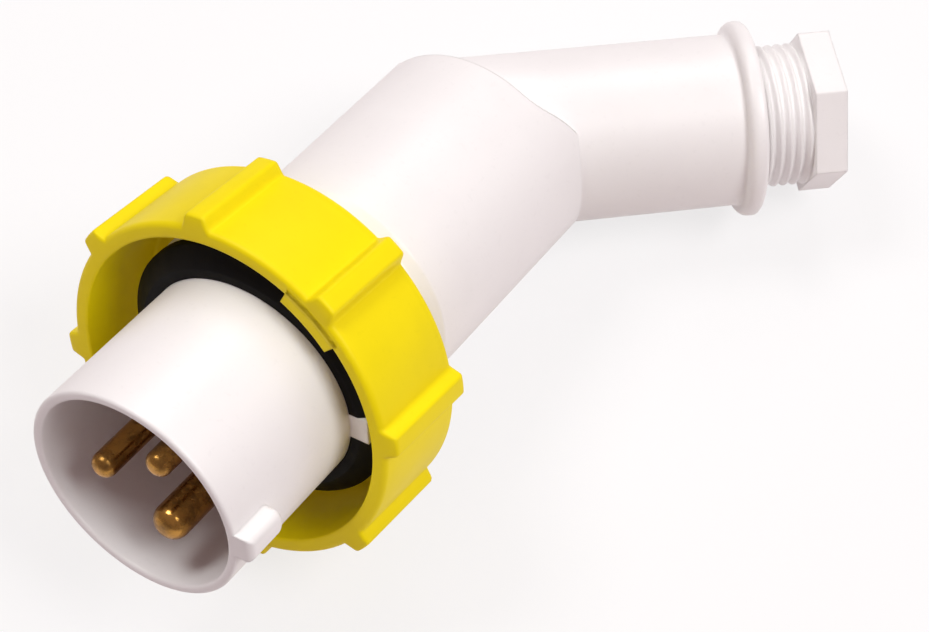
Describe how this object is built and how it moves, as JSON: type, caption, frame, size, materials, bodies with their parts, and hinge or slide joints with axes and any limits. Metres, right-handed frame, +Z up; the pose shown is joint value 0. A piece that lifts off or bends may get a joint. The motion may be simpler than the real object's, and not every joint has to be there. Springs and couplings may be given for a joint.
{
  "type": "angled watertight power plug",
  "caption": "Angled watertight industrial plug: round pins in a keyed sleeve, face seal, loose ribbed bayonet coupling ring, elbow housing and hexagonal gland screw.",
  "frame": {"origin": "centre of the footprint's box, at the floor the plug lies on", "axes": "+Z up; +Y from the mouth to the elbow along the main axis as seen from above, so the mouth points to -Y and a little up; the tail bends towards +X and lies nearly level"},
  "size_m": [0.1004, 0.1738, 0.0752],
  "materials": {
    "shell_plastic": "satin",
    "housing_plastic": "satin",
    "gland_plastic": "satin",
    "ring_plastic": "gloss",
    "insulator": "matte",
    "seal_rubber": "matte",
    "washer_plastic": "matte",
    "pin_brass": "polished",
    "screw_steel": "satin"
  },
  "bodies": {
    "housing": {"front_shell": "shell_plastic", "face_gasket": "seal_rubber", "housing_seal": "seal_rubber", "elbow_housing": "housing_plastic", "pin_retainer": "insulator", "gland_grommet": "seal_rubber", "phase_pin_1": "pin_brass", "terminal_screw_1": "screw_steel", "phase_pin_2": "pin_brass", "terminal_screw_2": "screw_steel", "earth_pin": "pin_brass", "terminal_screw_3": "screw_steel", "retainer_screw_1": "screw_steel", "housing_screw_1": "screw_steel", "retainer_screw_2": "screw_steel", "housing_screw_2": "screw_steel", "retainer_screw_3": "screw_steel", "housing_screw_3": "screw_steel"},
    "coupling_ring": {"coupling_ring": "ring_plastic"},
    "gland_washer": {"gland_washer": "washer_plastic"},
    "gland_screw": {"gland_screw": "gland_plastic"}
  },
  "joints": [
    {"name": "ring_turn", "type": "hinge", "parent": "housing", "child": "coupling_ring", "pos_m": [-0.01471, -0.04327, 0.03844], "axis": [0.0216, 0.9339, -0.3569], "continuous": true},
    {"name": "gland_travel", "type": "slide", "parent": "housing", "child": "gland_washer", "axis": [-0.743, -0.6693, -0.0023], "range_m": [-0.00201, 0.00641]},
    {"name": "gland_turn", "type": "hinge", "parent": "gland_washer", "child": "gland_screw", "pos_m": [0.02859, 0.06511, 0.02138], "axis": [-0.743, -0.6693, -0.0023], "range_deg": [-360, 1152]}
  ],
  "couplings": [
    {"joint": "gland_travel", "follows": "gland_turn", "m_per_rad": 0.00031831}
  ]
}
